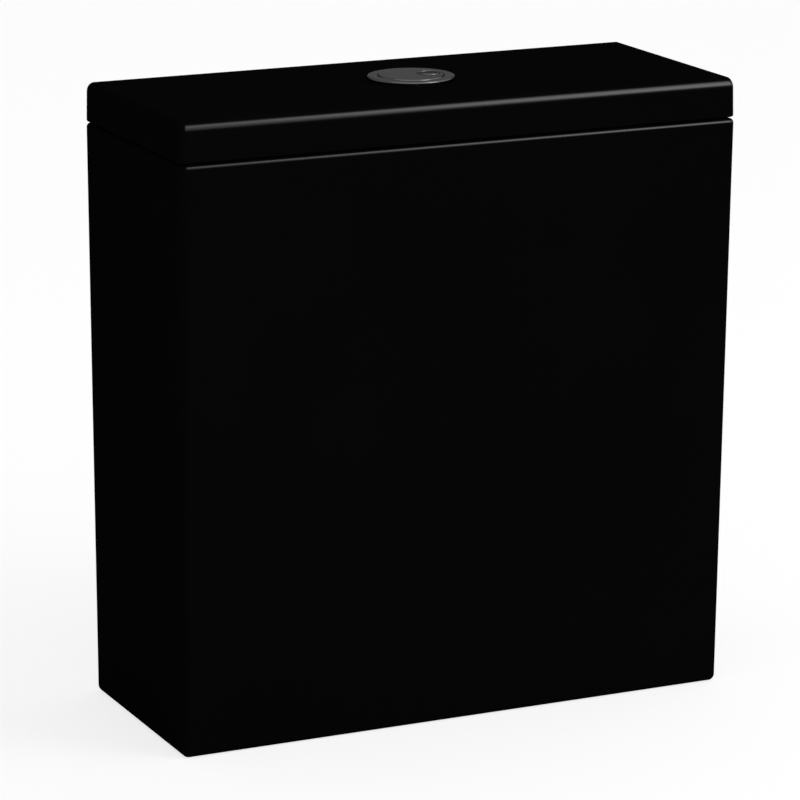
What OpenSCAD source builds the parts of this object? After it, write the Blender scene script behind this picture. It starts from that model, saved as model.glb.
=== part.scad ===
// Close-coupled toilet cistern with a dual-flush push button.
// Millimetres, +Z up, front towards -Y, origin at the middle of the rim the tank stands on.

/* [Tank] */
// Width of the tank at its top
tank_w = 390; // [340:1:420]
// Depth of the tank at its top
tank_d = 168; // [165:1:200]
// Height of the tank's top rim
tank_h = 388; // [380:1:440]
// How far each side draws in towards the bottom
side_draft = 1; // [0:0.5:4]
// How far the front leans back towards the bottom
front_draft = 10; // [0:0.5:14]
// Thickness of the ceramic walls
wall = 10; // [8:0.5:12]
// Thickness of the ceramic floor
floor_t = 12; // [10:0.5:15]
// Depth of the recess under the floor that hides the fittings
recess_h = 32; // [30:0.5:40]
// Thickness of the skirt round the recess
skirt_t = 12; // [9:0.5:15]
// Radius of the tank's upright and bottom edges
edge_r = 4.5; // [3:0.25:8]
// Radius of the tank's top rim edge
rim_r = 2.8; // [1:0.1:3.5]

/* [Lid] */
// Height of the lid slab
lid_h = 26; // [24:0.5:34]
// Shadow gap under the lid, which is the buffers' thickness
lid_gap = 1; // [0.8:0.1:2.5]
// How far the lid's sides stand out past the tank
lid_over = 0.3; // [0:0.1:2]
// How far the lid's front and back are set in
lid_set = 1; // [0:0.1:2]
// How far each lid face draws in towards the top
lid_draft = 0.8; // [0:0.1:2]
// Thickness of the lid plate
lid_plate = 12; // [10:0.5:14]
// Width of the lid's thick rim
lid_rim = 14; // [12:0.5:16]
// Radius of the lid's top edges
lid_top_r = 6.5; // [3:0.25:8]
// How deep the lid's lugs reach into the tank
lug_drop = 8; // [5:0.5:12]

/* [Push button] */
// Radius of the ring on the lid
bezel_r = 28.5; // [27:0.5:33]
// Height of the ring above the lid
bezel_h = 2.8; // [2:0.1:5]
// Radius of the large button
button_r = 21.4; // [20.5:0.1:23]
// Radius of the small button
half_r = 7.2; // [6.6:0.1:7.6]
// Offset of the small button from the large one's middle
half_x = 12.5; // [11.5:0.1:13]
// Length of the button barrel below the lid top
barrel_len = 42; // [38:1:48]
// Offset of each push rod from the button axis
rod_x = 14.5; // [14:0.1:15]
// Radius of the push rods
rod_r = 2.5; // [2:0.1:2.8]
// Coil radius of the button springs
coil_r = 4; // [3.8:0.1:4.2]
// Wire radius of the button springs
wire_r = 0.45; // [0.3:0.05:0.6]
// Number of curls in each button spring
coil_turns = 6; // [4:1:7]

/* [Flush valve] */
// Radius of the threaded spigot through the floor
spigot_r = 30; // [28:0.5:31]
// Radius of the flush outlet
outlet_r = 25; // [22:0.5:26]
// Depth of the lever pin below the tank's rim
pivot_drop = 66; // [60:1:80]
// Length of the full-flush lever's lifting arm
full_arm = 28; // [26:0.5:30]
// Length of the half-flush lever's lifting arm
half_arm = 22; // [21:0.5:25]
// Radius of the overflow tube
tube_r = 14; // [13:0.25:14.5]
// Wall thickness of the overflow tube
tube_wall = 2; // [1.5:0.25:3]
// Radius of the valve basket
basket_r = 39.8; // [38:0.2:42]
// Height of the valve basket
basket_h = 69; // [60:1:80]
// Radius of the flush float
flush_float_r = 34; // [28:0.5:38]
// Height of the flush float
flush_float_h = 45; // [30:1:55]

/* [Fixings] */
// Distance between the two coupling bolts
bolt_pitch = 155; // [140:1:170]
// Radius of the coupling bolts
bolt_r = 4; // [3:0.5:5]

/* [Fill valve] */
// Distance of the fill valve from the tank's left end
fill_in = 55; // [50:1:65]
// Distance of the fill valve behind the tank's middle
fill_y = 20; // [5:1:30]
// Radius of the threaded inlet tail
shank_r = 8.3; // [6.5:0.1:10.4]
// Radius of the riser pipe
riser_r = 10; // [8.5:0.25:11]
// Depth of the fill valve head below the tank's rim
head_drop = 96; // [90:1:130]
// Length of the fill lever
fill_arm = 38; // [34:0.5:42]
// Height of the fill valve's float
float_h = 72; // [50:1:90]

/* [Hidden] */
$fn = 96;
hull_fn = 32;
// how far cuts pass a face, and joined shapes reach into each other
cut = 1;
// radial clearance of pieces pressed or screwed together
fit = 0.1;
// radial clearance of a turning pin and of a screwed-in rod
run = 0.05;
// clearance of pieces that slide past each other
slide = 0.4;
// gap left at rest between pieces that meet when they move
rest_gap = 0.3;
// clearance of a fitting in its hole through the ceramic
ceramic_gap = 1.2;
// usual thickness of a moulded wall
sheet_t = 3;
// how far a disc or ring stays inside the piece it lies on
inset = 1;

half_w = tank_w / 2;
half_d = tank_d / 2;
floor_z = recess_h + floor_t;
inner_r = 12;
recess_r = 8;
function front_y(z) = -half_d + front_draft * (1 - z / tank_h);
function side_x(z) = half_w - side_draft * (1 - z / tank_h);

lid_z = tank_h + lid_gap;
lid_top = lid_z + lid_h;
plate_z = lid_top - lid_plate;
lid_half_w = half_w + lid_over;
lid_half_d = half_d - lid_set;
lid_foot_r = 1.2;
lug_w = 40;
lug_t = 6;
lug_in = 85;
lug_x = half_w - lug_in;
lug_bite = 1.5;
buffer_w = 5;
buffer_l = 24;
buffer_y = half_d / 2;

bezel_top = lid_top + bezel_h;
bezel_edge = 0.8;
button_gap = 0.5;
bore_r = button_r + button_gap;
barrel_r = bore_r + sheet_t;
lid_hole_r = barrel_r + ceramic_gap / 2;
barrel_z = lid_top - barrel_len;
washer_t = 2;
washer_w = 8;
washer_r = barrel_r + washer_w;
nut_h = 10;
guide_t = 4;
// how far the large button stands above the ring, and the small one above the large one
button_proud = 0.5;
half_proud = 0.1;
button_top = bezel_top + button_proud;
button_t = 3;
button_h = 15.3;
button_z = button_top - button_h;
button_edge = 1.2;
// share of the edge's size that its bevel takes at its middle
edge_share = 0.3;
half_gap = 0.4;
half_top = button_top + half_proud;
// depth of the hollow in the small button's top
half_dish = 0.9;
boss_t = 1.7;
boss_r = rod_r + boss_t;
rod_socket = 9;
stop_w = 1.5;
stop_r = rod_r + stop_w;
stop_t = 3;
rod_tip_r = 3.5;
rod_tip_h = 20;
rod_tip_floor = 6;
grip_count = 8;
grip_r = 2;
seat_lift = 0.25;
coil_z = barrel_z + guide_t + wire_r + seat_lift;
coil_top = button_z - wire_r - seat_lift;
coil_rings = 8;
coil_sides = 6;

pivot_z = tank_h - pivot_drop;
tip_z = pivot_z + rest_gap;
pin_r = 2;
pin_bore = pin_r + run;
clip_r = 4;
clip_t = 1.6;
hub_r = 5;
lever_t = 4;
lever_in = 5;
lever_out = 13;
pad_half = 4;
tip_r = 3;
cheek_in = 17;
cheek_t = 4;
cheek_out = cheek_in + cheek_t;
cheek_w = 14;
bridge_drop = 82;
bridge_t = 6;
bridge_w = 40;
bridge_z = pivot_z - bridge_drop;
rail_in = 18;
rail_t = 4;
rail_out = rail_in + rail_t;
rail_w = 16;
flap_gap = 0.2;
flap_in = rail_out + flap_gap;
flap_t = 2.8;
flap_out = flap_in + flap_t;
flap_w = 20;
flap_h = 40;
peg_z = bridge_z - flap_h / 2;
peg_r = 2;
peg_pitch = 10;
peg_head_r = 4;
peg_head_t = 2.5;

base_seal_t = 3;
base_flange_t = 4;
base_flange_z = floor_z + base_seal_t;
base_top = base_flange_z + base_flange_t;
spigot_z = 5;
lip_t = 4;
lip_r = outlet_r + lip_t;
lip_in = outlet_r + inset;
lip_h = 7;
lip_top = base_top + lip_h;
collar_gap = 0.2;
collar_t = 3;
collar_h = 9;
collar_in = basket_r + collar_gap;
collar_r = collar_in + collar_t;
base_flange_r = collar_r + inset;
back_nut_h = 10;
back_nut_w = 11;
back_nut_r = spigot_r + back_nut_w;
gasket_z = 3;
gasket_top = recess_h - back_nut_h;
gasket_w = 21;
gasket_taper = 6;
gasket_r = spigot_r + gasket_w;
gasket_foot_r = gasket_r - gasket_taper;
basket_t = 3.8;
basket_ring_h = 13;
basket_plate_t = 4;
basket_top = base_top + basket_h;
basket_plate_z = basket_top - basket_plate_t;
// number of the lowest peg hole, which keeps at least this share of a pitch above the plate
peg_foot = 0.5;
peg_last = floor((peg_z - basket_top) / peg_pitch - peg_foot);
window_w = 36;
window_lintel = 4;
window_z = base_top + basket_ring_h;
window_top = basket_plate_z - window_lintel;
guide_hole_r = tube_r + 2 * slide;

tube_drop = 40;
tube_top = pivot_z - tube_drop;
tube_in = tube_r - tube_wall;
seal_z = lip_top + rest_gap;
seal_t = 3.7;
seal_w = 3;
seal_r = lip_r + seal_w;
disc_z = seal_z + seal_t;
disc_t = 4;
disc_r = seal_r - inset;
disc_hub_r = tube_r + sheet_t;
disc_hub_h = 8;
foot_w = 4;
foot_r = tube_r + foot_w;
foot_t = 3;
foot_z = seal_z - foot_t;
sleeve_t = 2.5;
sleeve_r = tube_r + sleeve_t;
sleeve_in = tube_r + slide;
sleeve_z = bridge_z + bridge_t + rest_gap;
hook_drop = 60;
hook_z = pivot_z - hook_drop;
hook_t = 6;
hook_gap = 0.4;
hook_plate_t = 4;
hook_post_t = 3.2;
hook_post_gap = 2;
hook_root = 10;
hook_cover = 9;
hook_low = pivot_z + tip_r + hook_gap;
hook_top = hook_low + hook_plate_t;
lift_z = hook_z + hook_t + rest_gap;
bead_h = 3;
float_slot = 23;
float_neck_gap = 1.5;
float_neck = rail_in - float_neck_gap;
flush_float_lift = 12;
flush_float_z = basket_top + flush_float_lift;
flush_float_top = flush_float_z + flush_float_h;

// the plain neck of a threaded piece over its thread, and how far it shows past its nut
neck_step = 0.2;
tail_gap = 0.5;

bolt_z = 3;
bolt_neck_r = bolt_r + neck_step;
cone_t = 6;
cone_w = 8;
cone_taper = 2;
cone_r = bolt_r + cone_w;
flat_t = 1.6;
flat_w = 7;
flat_r = bolt_r + flat_w;
bolt_head_z = floor_z + cone_t + flat_t;
bolt_head_t = 5.3;
// corner radius of a hexagon head or nut over its bolt's radius
hex_share = 1.876;
bolt_head_r = bolt_r * hex_share;
lock_nut_t = 6.4;
lock_nut_z = recess_h - flat_t - lock_nut_t;
bolt_neck_z = lock_nut_z - tail_gap;
bolt_hole_gap = 2;
bolt_hole_r = bolt_r + bolt_hole_gap;

fill_x = fill_in - half_w;
inlet_z = 5;
inlet_seal_t = 2.5;
inlet_flange_w = 6.7;
inlet_flange_r = shank_r + inlet_flange_w;
inlet_flange_z = floor_z + inlet_seal_t;
inlet_flange_t = 3.5;
socket_z = inlet_flange_z + inlet_flange_t;
socket_floor = 6;
socket_h = 22;
socket_top = socket_z + socket_h;
socket_t = 4;
socket_r = riser_r + socket_t;
inlet_wall = 3.3;
inlet_bore = shank_r - inlet_wall;
inlet_nut_t = 9;
inlet_nut_r = inlet_flange_r;
inlet_washer_t = 2;
inlet_nut_z = recess_h - inlet_washer_t - inlet_nut_t;
neck_r = shank_r + neck_step;
tail_top = inlet_nut_z - tail_gap;
filter_r = inlet_bore - fit;
filter_t = 0.9;
filter_sink = 3;
filter_z = inlet_z + filter_sink;
filter_h = 32;
riser_wall = 2.5;
riser_in = riser_r - riser_wall;
riser_z = socket_z + socket_floor;
collar_nut_w = 6;
collar_nut_r = riser_r + collar_nut_w;
collar_nut_h = 12;
head_z = tank_h - head_drop;
head_w = 8;
head_r = riser_r + head_w;
head_wall = 3;
cap_plug_r = head_r - head_wall - fit;
head_sole = 6;
head_floor_h = 12;
head_floor = head_z + head_floor_h;
head_h = 30;
head_top = head_z + head_h;
port_gap = 6;
port_x = -(head_r + port_gap);
port_r = 8.5;
pipe_r = 6;
pipe_wall = 1.5;
pipe_lift = 16;
pipe_z = floor_z + pipe_lift;
port_drop = 8;
port_roof = 4;
port_top = head_floor;
port_floor = port_top - port_roof;
diaphragm_t = 2.5;
cap_t = 8;
cap_r = head_r + inset;
plug_h = 8;
fill_pin_r = 1.5;
fill_pivot_lift = 6;
fill_pivot_z = head_top + cap_t + fill_pivot_lift;
ear_in = 3.2;
ear_t = 2.8;
ear_out = ear_in + ear_t;
ear_w = 10;
ear_top = 4;
fill_bar_y = 3;
fill_bar_t = 4;
fill_hub_r = 4;
prong_t = 2.5;
prong_out = fill_bar_y + prong_t;
prong_root = 12;
fork_root = 8;
prong_end = 3;
link_r = 1.6;
link_plate_y = 2;
link_slot_z = 0.35;
link_in = 2.6;
link_out = 0.6;
link_wall = 2.2;
float_drop = 30;
float_top = head_z - float_drop;
float_z = float_top - float_h;
float_gap = 6;
float_in = riser_r + float_gap;
float_reach = 22;
float_out = fill_arm + float_reach;
float_half = 26;
float_wall = 2;
float_r = 6;
guide_wall = 4;
guide_half = riser_r + guide_wall;
guide_h = 12;
level_rod_r = 2;
level_nut_w = 4;
level_nut_r = level_rod_r + level_nut_w;
level_nut_t = 6;
level_stop = 10;

// tube with a flat top and bottom
module ring(outer, inner, z, h) {
  difference() {
    translate([0, 0, z])
      cylinder(r = outer, h = h);
    translate([0, 0, z - cut])
      cylinder(r = inner, h = h + 2 * cut);
  }
}

// upright round bar
module rod(r, z, top) {
  translate([0, 0, z])
    cylinder(r = r, h = top - z);
}

// round bar along Y
module cross_rod(r, y, y_end, z) {
  translate([0, y, z])
    rotate([-90, 0, 0])
      cylinder(r = r, h = y_end - y);
}

// plain block between two corners
module block(low, high) {
  translate(low)
    cube(high - low);
}

// block with round upright edges
module soft_block(low, high, r) {
  block([low[0] + r, low[1], low[2]], [high[0] - r, high[1], high[2]]);
  block([low[0], low[1] + r, low[2]], [high[0], high[1] - r, high[2]]);
  for (x = [low[0] + r, high[0] - r]) {
    for (y = [low[1] + r, high[1] - r]) {
      translate([x, y, 0])
        rod(r, low[2], high[2]);
    }
  }
}

// short post whose top edge is round, for hulled corners
module corner_top(r, round_r, z) {
  translate([0, 0, z - round_r])
    rotate_extrude($fn = hull_fn)
      union() {
        square([r - round_r, round_r]);
        intersection() {
          translate([r - round_r, 0])
            circle(r = round_r, $fn = hull_fn);
          square([r, round_r]);
        }
      }
}

module tank_outer() {
  hull() {
    for (s = [-1, 1]) {
      for (y = [front_y(0) + edge_r, half_d - edge_r]) {
        translate([s * (side_x(0) - edge_r), y, 0])
          mirror([0, 0, 1])
            corner_top(edge_r, edge_r - fit, 0);
      }
      translate([s * (half_w - edge_r), -half_d + edge_r, 0])
        corner_top(edge_r, rim_r, tank_h);
      translate([s * (half_w - edge_r), half_d - edge_r, 0])
        corner_top(edge_r, rim_r, tank_h);
    }
  }
}

module tank_inner() {
  hull() {
    for (s = [-1, 1]) {
      for (y = [front_y(floor_z) + wall + inner_r, half_d - wall - inner_r]) {
        translate([s * (side_x(floor_z) - wall - inner_r), y, floor_z])
          mirror([0, 0, 1])
            corner_top(inner_r, inner_r - fit, 0);
      }
      for (y = [-half_d + wall + inner_r, half_d - wall - inner_r]) {
        translate([s * (half_w - wall - inner_r), y, tank_h])
          cylinder(r = inner_r, h = cut, $fn = hull_fn);
      }
    }
  }
}

module tank_recess() {
  low = [-side_x(0) + skirt_t, front_y(0) + skirt_t, -cut];
  high = [side_x(0) - skirt_t, half_d - skirt_t, recess_h];
  soft_block(low, high, recess_r);
}

module tank() {
  color([0.02, 0.02, 0.02])
    difference() {
      tank_outer();
      tank_inner();
      tank_recess();
      rod(spigot_r + ceramic_gap, recess_h - cut, floor_z + cut);
      for (s = [-1, 1]) {
        translate([s * bolt_pitch / 2, 0, 0])
          rod(bolt_hole_r, recess_h - cut, floor_z + cut);
      }
      translate([fill_x, fill_y, 0])
        rod(neck_r + ceramic_gap, recess_h - cut, floor_z + cut);
    }
}

module lid_outer() {
  hull() {
    for (sx = [-1, 1]) {
      for (sy = [-1, 1]) {
        translate([sx * (lid_half_w - edge_r), sy * (lid_half_d - edge_r), lid_z])
          mirror([0, 0, 1])
            corner_top(edge_r, lid_foot_r, 0);
        translate([
          sx * (lid_half_w - lid_draft - lid_top_r),
          sy * (lid_half_d - lid_draft - lid_top_r),
          lid_top
        ])
          corner_top(lid_top_r, lid_top_r - fit, 0);
      }
    }
  }
}

// lug on the lid's rim that keeps it in place in the tank's mouth
module lid_lug(x, y) {
  block([x - lug_w / 2, y - lug_t, lid_z - lug_drop], [x + lug_w / 2, y + lug_bite, plate_z + cut]);
}

module lid() {
  pocket_x = lid_half_w - lid_rim;
  pocket_y = lid_half_d - lid_rim;
  color([0.025, 0.025, 0.025])
    difference() {
      union() {
        difference() {
          lid_outer();
          soft_block([-pocket_x, -pocket_y, lid_z - cut], [pocket_x, pocket_y, plate_z], recess_r);
        }
        for (x = [-lug_x, lug_x]) {
          lid_lug(x, pocket_y);
          mirror([0, 1, 0])
            lid_lug(x, pocket_y);
        }
        for (a = [-90, 90]) {
          rotate([0, 0, a])
            lid_lug(0, pocket_x);
        }
      }
      rod(lid_hole_r, plate_z - cut, lid_top + cut);
    }
}

module lid_buffers() {
  color([0.2, 0.2, 0.2])
    for (sx = [-1, 1]) {
      for (sy = [-1, 1]) {
        translate([sx * (half_w - wall / 2), sy * buffer_y, 0])
          soft_block(
            [-buffer_w / 2, -buffer_l / 2, tank_h],
            [buffer_w / 2, buffer_l / 2, lid_z],
            buffer_w / 2 - fit
          );
      }
    }
}

module button_bezel() {
  color([0.3, 0.3, 0.3])
    rotate_extrude()
      polygon([
        [bore_r, barrel_z],
        [bore_r, bezel_top - bezel_edge / 2],
        [bore_r + bezel_edge / 2, bezel_top],
        [bezel_r - bezel_edge, bezel_top],
        [bezel_r, bezel_top - bezel_edge],
        [bezel_r, lid_top],
        [barrel_r, lid_top],
        [barrel_r, barrel_z]
      ]);
}

module bezel_washer() {
  color([0.12, 0.12, 0.12])
    ring(washer_r, barrel_r + fit, plate_z - washer_t, washer_t);
}

module bezel_nut() {
  nut_z = plate_z - washer_t - nut_h;
  color([0.85, 0.85, 0.83])
    difference() {
      union() {
        rod(washer_r - grip_r, nut_z, nut_z + nut_h);
        for (i = [0 : grip_count - 1]) {
          rotate([0, 0, i * 360 / grip_count])
            translate([washer_r - grip_r, 0, 0])
              rod(grip_r, nut_z, nut_z + nut_h);
        }
      }
      rod(barrel_r + fit, nut_z - cut, nut_z + nut_h + cut);
    }
}

module button_guide() {
  color([0.85, 0.85, 0.83])
    difference() {
      rod(bore_r - fit, barrel_z, barrel_z + guide_t);
      for (s = [-1, 1]) {
        translate([s * rod_x, 0, 0])
          rod(rod_r + slide, barrel_z - cut, barrel_z + guide_t + cut);
      }
    }
}

module full_flush_button() {
  color([0.32, 0.32, 0.32])
    difference() {
      union() {
        rotate_extrude()
          polygon([
            [0, button_top - button_t],
            [button_r - button_edge, button_top - button_t],
            [button_r - button_edge, button_z],
            [button_r, button_z],
            [button_r, button_top - button_edge],
            [button_r - button_edge * edge_share, button_top - button_edge * edge_share],
            [button_r - button_edge, button_top],
            [0, button_top]
          ]);
        translate([-rod_x, 0, 0])
          rod(boss_r, button_z, button_top - button_t + cut);
      }
      translate([half_x, 0, 0])
        rod(half_r + half_gap, button_z - cut, button_top + cut);
      translate([-rod_x, 0, 0])
        rod(rod_r + run, button_z - cut, button_z + rod_socket);
    }
}

module half_flush_button() {
  color([0.36, 0.36, 0.36])
    difference() {
      translate([half_x, 0, 0])
        rotate_extrude()
          polygon([
            [0, button_z],
            [half_r, button_z],
            [half_r, half_top - button_edge],
            [half_r - button_edge * edge_share, half_top - button_edge * edge_share],
            [half_r - button_edge, half_top],
            [0, half_top - half_dish]
          ]);
      translate([rod_x, 0, 0])
        rod(rod_r + run, button_z - cut, button_z + rod_socket);
    }
}

// middle line of a button spring: one point a ring, with a straight start and end
coil_steps = coil_turns * coil_rings;
function coil_slope() = (coil_top - coil_z) / coil_steps;
function coil_angle(i) = 360 * i / coil_rings;
function coil_tangent(a) =
  let (t = [-sin(a), cos(a), coil_slope() * coil_rings / (2 * PI * coil_r)])
  t / norm(t);
function coil_point(i) =
  [coil_r * cos(coil_angle(i)), coil_r * sin(coil_angle(i)), coil_z + coil_slope() * i];
function coil_path() = concat(
  [coil_point(0) - 2 * wire_r * coil_tangent(0)],
  [for (i = [0 : coil_steps]) coil_point(i)],
  [coil_point(coil_steps) + 2 * wire_r * coil_tangent(coil_angle(coil_steps))]
);
function coil_turn(i) = coil_angle(max(0, min(coil_steps, i - 1)));
function coil_rim(i, p) =
  let (a = coil_turn(i), out = [cos(a), sin(a), 0], up = cross(out, coil_tangent(a)))
  [for (k = [0 : coil_sides - 1])
    p + wire_r * (cos(360 * k / coil_sides) * out + sin(360 * k / coil_sides) * up)];

path = coil_path();
path_gap = min([
  for (i = [0 : len(path) - 1])
    for (j = [i + coil_rings / 2 : len(path) - 1])
      norm(path[i] - path[j])
]) - 2 * wire_r;
echo(str("button spring, least gap to itself in mm: ", path_gap));

module coil() {
  last = len(path) - 1;
  rims = [for (i = [0 : last]) each coil_rim(i, path[i])];
  sides = [
    for (i = [0 : last - 1])
      for (k = [0 : coil_sides - 1])
        let (n = (k + 1) % coil_sides, a = i * coil_sides, b = (i + 1) * coil_sides)
          each [[a + k, b + k, b + n], [a + k, b + n, a + n]]
  ];
  start = [for (k = [1 : coil_sides - 2]) [0, k, k + 1]];
  end = [for (k = [1 : coil_sides - 2]) [last * coil_sides, last * coil_sides + k + 1, last * coil_sides + k]];
  polyhedron(points = rims, faces = concat(sides, start, end));
}

module full_button_spring() {
  color([0.7, 0.7, 0.72])
    translate([-rod_x, 0, 0])
      coil();
}

module half_button_spring() {
  color([0.7, 0.7, 0.72])
    translate([rod_x, 0, 0])
      coil();
}

// threaded rod with the shoulder that stops it under the guide
module push_rod() {
  shoulder = barrel_z - rest_gap;
  rod(rod_r, tip_z + rod_tip_floor, button_z + rod_socket - rest_gap);
  rod(stop_r, shoulder - stop_t, shoulder);
}

// adjustable foot with a round end
module rod_tip() {
  difference() {
    union() {
      translate([0, 0, tip_z + rod_tip_r])
        sphere(r = rod_tip_r);
      rod(rod_tip_r, tip_z + rod_tip_r, tip_z + rod_tip_h);
    }
    rod(rod_r + run, tip_z + rod_tip_floor, tip_z + rod_tip_h + cut);
  }
}

module full_push_rod() {
  color([0.85, 0.85, 0.83])
    translate([-rod_x, 0, 0])
      push_rod();
}

module half_push_rod() {
  color([0.85, 0.85, 0.83])
    translate([rod_x, 0, 0])
      push_rod();
}

module full_rod_tip() {
  color([0.1, 0.3, 0.6])
    translate([-rod_x, 0, 0])
      rod_tip();
}

module half_rod_tip() {
  color([0.1, 0.5, 0.3])
    translate([rod_x, 0, 0])
      rod_tip();
}

// rocker: the push rod presses the pad on the left, the round tip on the right lifts
module rocker(arm) {
  difference() {
    union() {
      block([-rod_x - pad_half, -lever_out, pivot_z - lever_t], [arm, -lever_in, pivot_z]);
      block([-rod_x - pad_half, -lever_out, pivot_z - lever_t], [pad_half - rod_x, pad_half, pivot_z]);
      cross_rod(hub_r, -lever_out, -lever_in, pivot_z);
      translate([arm, 0, 0])
        cross_rod(tip_r, -lever_out, -lever_in, pivot_z);
    }
    cross_rod(pin_bore, -lever_out - cut, -lever_in + cut, pivot_z);
  }
}

module full_lever() {
  color([0.1, 0.3, 0.6])
    rocker(full_arm);
}

module half_lever() {
  color([0.1, 0.5, 0.3])
    rotate([0, 0, 180])
      rocker(half_arm);
}

module lever_pin() {
  color([0.75, 0.75, 0.77]) {
    cross_rod(pin_r, -cheek_out, cheek_out + clip_t + rest_gap, pivot_z);
    cross_rod(clip_r, -cheek_out - clip_t, -cheek_out, pivot_z);
  }
}

module lever_pin_clip() {
  color([0.6, 0.6, 0.62])
    difference() {
      cross_rod(clip_r, cheek_out, cheek_out + clip_t, pivot_z);
      cross_rod(pin_bore, cheek_out - cut, cheek_out + clip_t + cut, pivot_z);
    }
}

module spacer(y, y_end) {
  difference() {
    cross_rod(clip_r, y, y_end, pivot_z);
    cross_rod(pin_bore, y - cut, y_end + cut, pivot_z);
  }
}

module lever_spacers() {
  color([0.85, 0.85, 0.83]) {
    spacer(rest_gap - lever_in, lever_in - rest_gap);
    spacer(lever_out + rest_gap, cheek_in);
    spacer(-cheek_in, -lever_out - rest_gap);
  }
}

module lever_bridge() {
  color([0.85, 0.85, 0.83])
    difference() {
      union() {
        soft_block([-bridge_w / 2, -flap_out, bridge_z], [bridge_w / 2, flap_out, bridge_z + bridge_t], hub_r);
        for (s = [0, 1]) {
          mirror([0, s, 0]) {
            block([-cheek_w / 2, cheek_in, bridge_z], [cheek_w / 2, cheek_out, pivot_z]);
            cross_rod(cheek_w / 2, cheek_in, cheek_out, pivot_z);
            block([-flap_w / 2, flap_in, bridge_z - flap_h], [flap_w / 2, flap_out, bridge_z + cut]);
          }
        }
      }
      rod(guide_hole_r, bridge_z - cut, bridge_z + bridge_t + cut);
      cross_rod(pin_bore, -cheek_out - cut, cheek_out + cut, pivot_z);
      cross_rod(peg_r + run, -flap_out - cut, flap_out + cut, peg_z);
    }
}

module bridge_lock_pins() {
  color([0.6, 0.1, 0.1])
    for (s = [0, 1]) {
      mirror([0, s, 0]) {
        cross_rod(peg_r, rail_in, flap_out, peg_z);
        cross_rod(peg_head_r, flap_out, flap_out + peg_head_t, peg_z);
      }
    }
}

module valve_basket() {
  color([0.9, 0.9, 0.88])
    difference() {
      union() {
        difference() {
          ring(basket_r, basket_r - basket_t, base_top, basket_h);
          block([-window_w / 2, -2 * basket_r, window_z], [window_w / 2, 2 * basket_r, window_top]);
          block([-2 * basket_r, -window_w / 2, window_z], [2 * basket_r, window_w / 2, window_top]);
        }
        rod(basket_r, basket_plate_z, basket_top);
        for (s = [0, 1]) {
          mirror([0, s, 0])
            block([-rail_w / 2, rail_in, basket_plate_z], [rail_w / 2, rail_out, bridge_z]);
        }
      }
      rod(guide_hole_r, basket_plate_z - cut, basket_top + cut);
      for (i = [0 : peg_last]) {
        cross_rod(peg_r + run, -rail_out - cut, rail_out + cut, peg_z - i * peg_pitch);
      }
    }
}

module valve_base() {
  color([0.9, 0.9, 0.88])
    rotate_extrude()
      polygon([
        [outlet_r, spigot_z],
        [spigot_r, spigot_z],
        [spigot_r, base_flange_z],
        [base_flange_r, base_flange_z],
        [base_flange_r, base_top],
        [collar_r, base_top],
        [collar_r, base_top + collar_h],
        [collar_in, base_top + collar_h],
        [collar_in, base_top],
        [lip_r, base_top],
        [lip_r - inset, lip_top],
        [lip_in, lip_top],
        [lip_in, base_top],
        [outlet_r, base_top]
      ]);
}

module valve_base_seal() {
  color([0.1, 0.1, 0.1])
    ring(base_flange_r - inset, spigot_r + fit, floor_z, base_seal_t);
}

module valve_back_nut() {
  nut_z = recess_h - back_nut_h;
  color([0.85, 0.85, 0.83])
    difference() {
      union() {
        rod(back_nut_r - grip_r, nut_z, recess_h);
        for (i = [0 : grip_count - 1]) {
          rotate([0, 0, (i + 0.5) * 360 / grip_count])
            translate([back_nut_r - grip_r, 0, 0])
              rod(grip_r, nut_z, recess_h);
        }
      }
      rod(spigot_r + fit, nut_z - cut, recess_h + cut);
    }
}

module coupling_gasket() {
  color([0.06, 0.06, 0.06])
    rotate_extrude()
      polygon([
        [spigot_r + slide, gasket_z],
        [gasket_foot_r, gasket_z],
        [gasket_r, gasket_top - sheet_t],
        [gasket_r, gasket_top],
        [spigot_r + slide, gasket_top]
      ]);
}

module overflow_tube() {
  color([0.92, 0.92, 0.9]) {
    ring(tube_r, tube_in, foot_z, tube_top - foot_z);
    ring(foot_r, tube_in, foot_z, foot_t);
    ring(sleeve_r, tube_in, lift_z + hook_t, bead_h);
  }
}

module plunger_seal() {
  color([0.5, 0.1, 0.1])
    ring(seal_r, tube_r + fit, seal_z, seal_t);
}

module plunger_disc() {
  color([0.85, 0.85, 0.83]) {
    ring(disc_r, tube_r + fit, disc_z, disc_t);
    ring(disc_hub_r, tube_r + fit, disc_z, disc_hub_h);
  }
}

module flush_float() {
  color([0.2, 0.4, 0.7])
    difference() {
      ring(flush_float_r, tube_r + fit, flush_float_z, flush_float_h);
      for (s = [0, 1]) {
        mirror([0, s, 0])
          block([-float_slot / 2, float_neck, flush_float_z - cut], [float_slot / 2, 2 * flush_float_r, flush_float_top + cut]);
      }
    }
}

// arm, post and hook that reach over a lever's round tip on the right
module lift_hook(arm, z, bore) {
  post = arm + tip_r + hook_post_gap;
  difference() {
    block([hook_root, -lever_out, z], [post + hook_post_t, -lever_in, z + hook_t]);
    rod(bore, z - cut, z + hook_t + cut);
  }
  block([post, -lever_out, z], [post + hook_post_t, -lever_in, hook_top]);
  block([arm - hook_cover, -lever_out, hook_low], [post + hook_post_t, -lever_in, hook_top]);
}

module full_lift_hook() {
  color([0.1, 0.3, 0.6]) {
    ring(sleeve_r, tube_r + fit, lift_z, hook_t);
    lift_hook(full_arm, lift_z, tube_r + fit);
  }
}

module half_lift_hook() {
  color([0.1, 0.5, 0.3]) {
    ring(sleeve_r, sleeve_in, sleeve_z, hook_z + hook_t - sleeve_z);
    rotate([0, 0, 180])
      lift_hook(half_arm, hook_z, sleeve_in);
  }
}

// one copy at each coupling bolt
module at_bolts() {
  for (s = [-1, 1]) {
    translate([s * bolt_pitch / 2, 0, 0])
      children();
  }
}

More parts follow.
